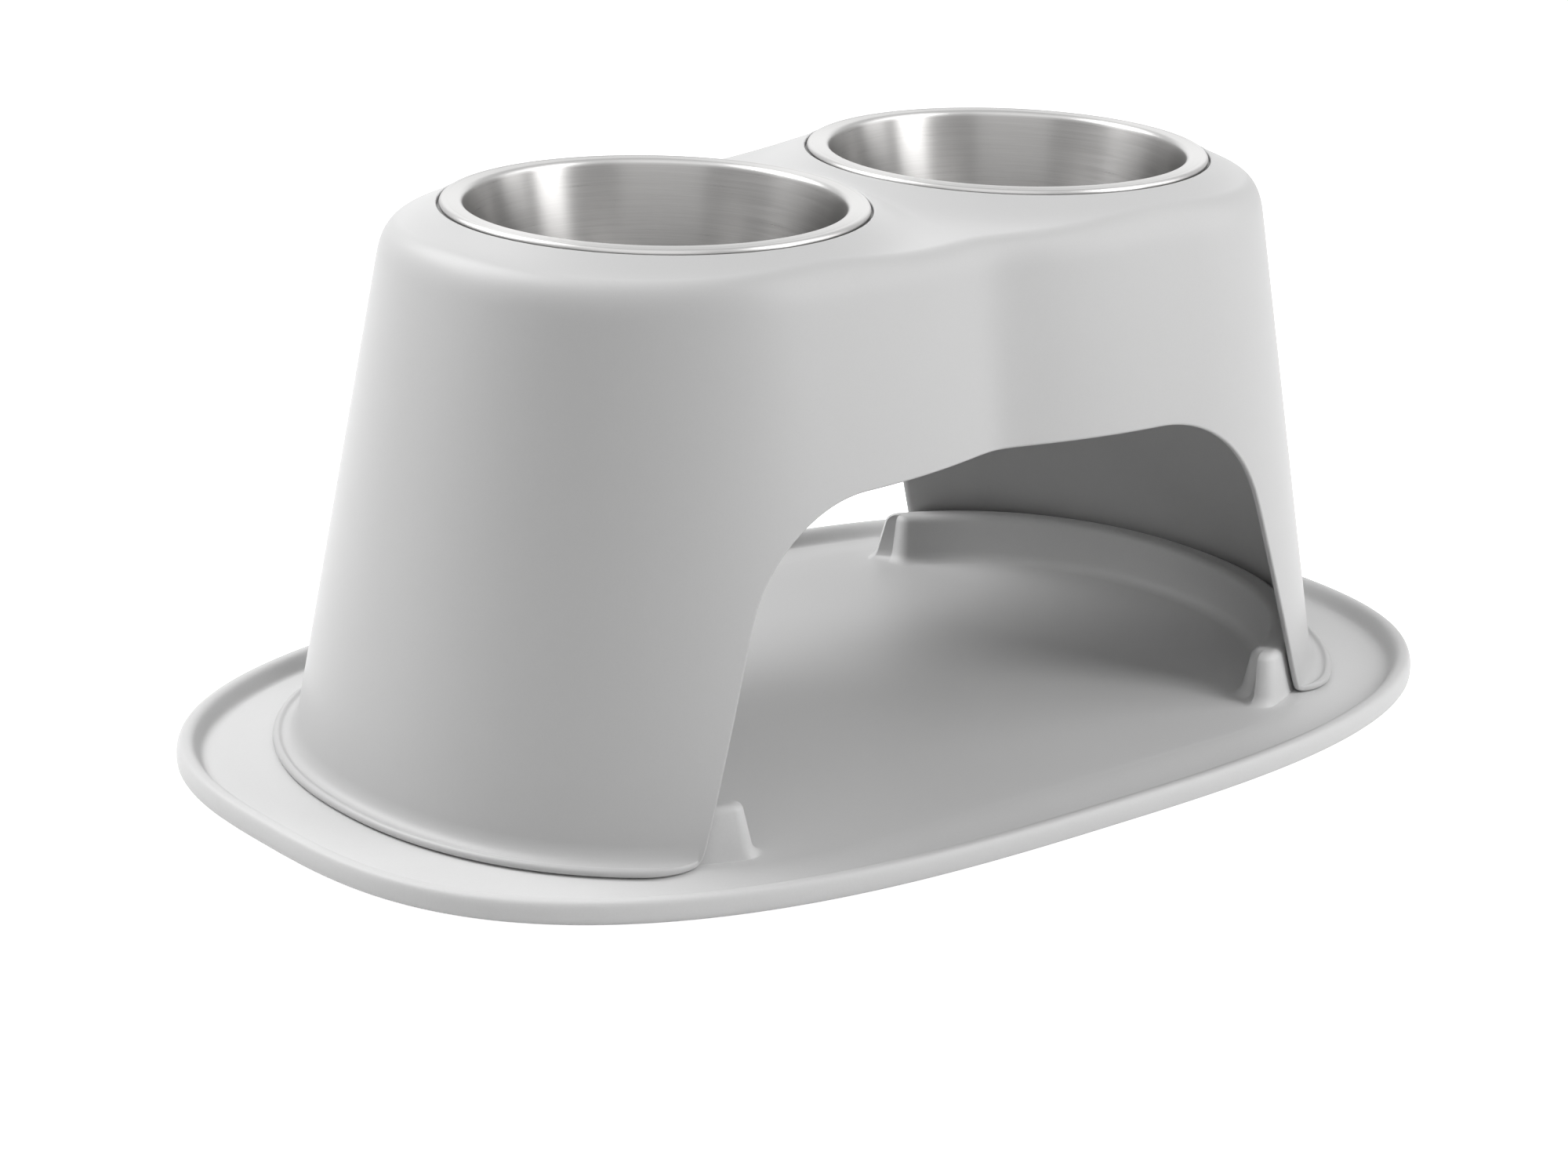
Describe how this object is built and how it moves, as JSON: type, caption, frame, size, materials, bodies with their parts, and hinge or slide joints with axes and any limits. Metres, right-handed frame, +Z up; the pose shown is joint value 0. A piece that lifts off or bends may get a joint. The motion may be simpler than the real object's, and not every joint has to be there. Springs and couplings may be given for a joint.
{
  "type": "raised double pet feeder",
  "caption": "Raised double pet feeder: a moulded stand with a waist and an open arch holds drop-in steel bowls and stands on a lipped mat with locating ridges.",
  "frame": {"origin": "centre of the mat's underside, on the ground", "axes": "+X along the two bowls to the right as seen from the front, +Y to the back, +Z up"},
  "size_m": [0.656, 0.418, 0.27],
  "materials": {
    "mat": "fine matte grain",
    "stand": "fine matte grain",
    "bowl": "fine circular brushing inside, polished rim"
  },
  "bodies": {
    "mat": {"mat": "mat"},
    "stand": {"stand": "stand"},
    "left_bowl": {"left_bowl": "bowl"},
    "right_bowl": {"right_bowl": "bowl"}
  },
  "joints": [
    {"name": "stand_lift", "type": "slide", "parent": "mat", "child": "stand", "axis": [0, 0, 1], "range_m": [0, 0.06]},
    {"name": "left_bowl_lift", "type": "slide", "parent": "stand", "child": "left_bowl", "axis": [0, 0, 1], "range_m": [0, 0.1]},
    {"name": "right_bowl_lift", "type": "slide", "parent": "stand", "child": "right_bowl", "axis": [0, 0, 1], "range_m": [0, 0.1]}
  ]
}
